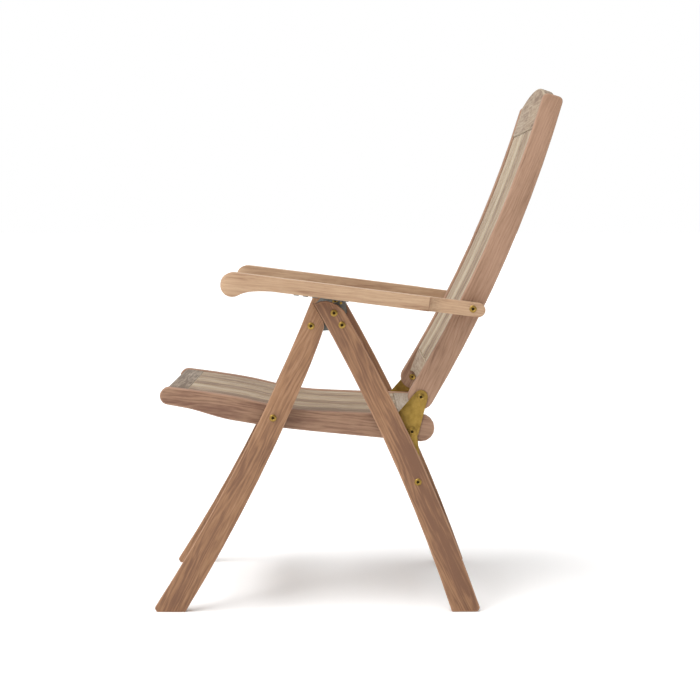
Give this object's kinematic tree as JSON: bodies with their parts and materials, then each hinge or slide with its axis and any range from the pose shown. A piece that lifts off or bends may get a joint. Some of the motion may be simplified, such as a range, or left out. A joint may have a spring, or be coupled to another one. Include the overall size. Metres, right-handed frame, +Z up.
{
  "type": "folding reclining armchair",
  "caption": "High-backed slatted teak garden armchair with curved legs that fold flat, a reclining back and notched armrests that set its angle.",
  "frame": {"origin": "on the floor, under the middle of the opened chair in plan", "axes": "+Z up, the chair faces -Y, +X is the sitter's left"},
  "size_m": [0.627, 0.8435, 1.0972],
  "materials": {
    "leg_teak": "sanded bare teak, satin, warm brown with fine straight grain",
    "frame_teak": "sanded bare teak, satin, pinkish brown",
    "arm_teak": "sanded bare teak, satin, golden brown",
    "slat_teak": "sanded bare teak, pale and slightly grey-green",
    "cross_rail_teak": "sanded bare teak, grey-brown, mottled",
    "brass": "brushed yellow brass",
    "zinc_plate": "dull zinc-plated steel"
  },
  "bodies": {
    "front_legs": {"front_stretcher": "leg_teak", "front_leg_left": "leg_teak", "front_leg_right": "leg_teak", "leg_pivot_bolt_left": "brass", "leg_pivot_bolt_right": "brass", "seat_pivot_bolt_left": "brass", "seat_pivot_bolt_right": "brass", "seat_pivot_spacer_left": "brass", "seat_pivot_spacer_right": "brass"},
    "rear_legs": {"rear_stretcher": "leg_teak", "rear_leg_left": "leg_teak", "rear_leg_right": "leg_teak", "hinge_plate_left": "zinc_plate", "hinge_plate_right": "zinc_plate", "hinge_bolt_upper_left": "brass", "hinge_bolt_upper_right": "brass", "hinge_bolt_lower_left": "brass", "hinge_bolt_lower_right": "brass", "rack_stud_left": "brass", "rack_stud_right": "brass", "strap_foot_bolt_left": "brass", "strap_foot_bolt_right": "brass"},
    "seat": {"seat_rail_left": "frame_teak", "seat_rail_right": "frame_teak", "seat_front_rail": "cross_rail_teak", "seat_rear_rail": "cross_rail_teak", "seat_bearer": "cross_rail_teak", "seat_slat_1": "slat_teak", "seat_slat_2": "slat_teak", "seat_slat_3": "slat_teak", "seat_slat_4": "slat_teak", "seat_slat_5": "slat_teak", "seat_slat_6": "slat_teak", "seat_bracket_left": "brass", "seat_bracket_right": "brass", "strap_top_bolt_left": "brass", "strap_top_bolt_right": "brass"},
    "link_straps": {"link_strap_left": "brass", "link_strap_right": "brass"},
    "back_pivot_bolts": {"back_pivot_bolt_left": "brass", "back_pivot_bolt_right": "brass"},
    "backrest": {"back_stile_left": "frame_teak", "back_stile_right": "frame_teak", "back_lower_rail": "slat_teak", "back_crest_rail": "slat_teak", "back_slat_1": "slat_teak", "back_slat_2": "slat_teak", "back_slat_3": "slat_teak", "back_slat_4": "slat_teak", "back_slat_5": "slat_teak", "back_slat_6": "slat_teak"},
    "arm_pivot_bolts": {"arm_pivot_bolt_left": "brass", "arm_pivot_bolt_right": "brass"},
    "arm_washers": {"arm_washer_left": "brass", "arm_washer_right": "brass"},
    "armrests": {"armrest_left": "arm_teak", "armrest_right": "arm_teak", "arm_rack_left": "zinc_plate", "arm_rack_right": "zinc_plate"}
  },
  "joints": [
    {"name": "leg_fold", "type": "hinge", "parent": "front_legs", "child": "rear_legs", "pos_m": [0, -0.096, 0.5949], "axis": [-1, 0, 0], "range_deg": [0, 49]},
    {"name": "seat_fold", "type": "hinge", "parent": "front_legs", "child": "seat", "pos_m": [0, -0.1746, 0.4051], "axis": [-1, 0, 0], "range_deg": [0, 84.91]},
    {"name": "strap_fold", "type": "hinge", "parent": "seat", "child": "link_straps", "pos_m": [0, 0.1131, 0.3732], "axis": [-1, 0, 0], "range_deg": [0, 93.6]},
    {"name": "back_fold", "type": "hinge", "parent": "seat", "child": "back_pivot_bolts", "pos_m": [0, 0.1316, 0.4454], "axis": [-1, 0, 0], "range_deg": [-95.06, 0]},
    {"name": "recline", "type": "hinge", "parent": "back_pivot_bolts", "child": "backrest", "pos_m": [0, 0.1316, 0.4454], "axis": [-1, 0, 0], "range_deg": [0, 28]},
    {"name": "arm_fold", "type": "hinge", "parent": "backrest", "child": "arm_pivot_bolts", "pos_m": [0, 0.2365, 0.6298], "axis": [-1, 0, 0], "range_deg": [0, 110]},
    {"name": "arm_follow", "type": "hinge", "parent": "arm_pivot_bolts", "child": "arm_washers", "pos_m": [0, 0.2365, 0.6298], "axis": [-1, 0, 0], "range_deg": [-18.14, 0]},
    {"name": "arm_lift", "type": "hinge", "parent": "arm_washers", "child": "armrests", "pos_m": [0, 0.2365, 0.6298], "axis": [-1, 0, 0], "range_deg": [-0.5, 12]}
  ],
  "couplings": [
    {"joint": "seat_fold", "follows": "leg_fold", "ratio": 1.7328},
    {"joint": "strap_fold", "follows": "leg_fold", "ratio": 1.9102},
    {"joint": "back_fold", "follows": "leg_fold", "ratio": -1.94},
    {"joint": "arm_fold", "follows": "leg_fold", "ratio": 2.245},
    {"joint": "arm_follow", "follows": "recline", "ratio": -0.648}
  ]
}
